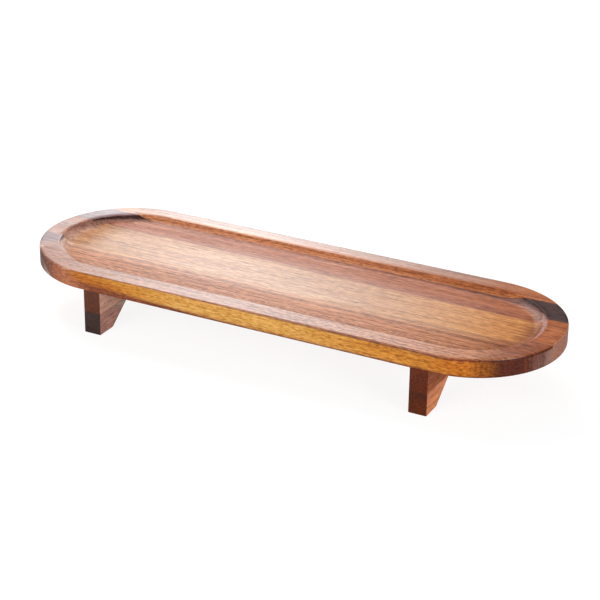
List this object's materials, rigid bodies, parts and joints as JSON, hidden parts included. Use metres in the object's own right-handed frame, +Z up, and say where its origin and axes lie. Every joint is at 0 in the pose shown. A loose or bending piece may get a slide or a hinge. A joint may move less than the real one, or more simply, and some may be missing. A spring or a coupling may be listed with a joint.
{
  "type": "footed serving board",
  "caption": "Long round-ended wooden serving board with a shallow coved recess inside a flat rim, glued up from staves and raised on low bridge-shaped legs to lift and serve food.",
  "frame": {"origin": "on the table under the centre of the board, at the bottom of the feet", "axes": "+X along the board, +Y from its front long edge to its back long edge, +Z up"},
  "size_m": [0.5, 0.163, 0.058],
  "materials": {
    "acacia_front": "golden-orange acacia, oiled satin",
    "acacia_red": "red-brown acacia with fine dark stripes, oiled satin",
    "acacia_golden": "light golden acacia, oiled satin",
    "acacia_dark": "dark purple-brown heartwood, oiled satin",
    "acacia_back": "orange-brown acacia, oiled satin",
    "acacia_rail": "brown acacia, oiled satin",
    "acacia_foot": "brown acacia, oiled satin",
    "screw_steel": "zinc-plated wood screw"
  },
  "bodies": {
    "root": {"stave_front": "acacia_front", "stave_red": "acacia_red", "stave_golden": "acacia_golden", "stave_dark": "acacia_dark", "stave_back": "acacia_back", "leg_left_rail": "acacia_rail", "leg_right_rail": "acacia_rail", "leg_left_foot_front": "acacia_foot", "leg_left_foot_back": "acacia_foot", "leg_right_foot_front": "acacia_foot", "leg_right_foot_back": "acacia_foot", "leg_left_screw_front": "screw_steel", "leg_left_screw_back": "screw_steel", "leg_right_screw_front": "screw_steel", "leg_right_screw_back": "screw_steel"}
  },
  "joints": []
}
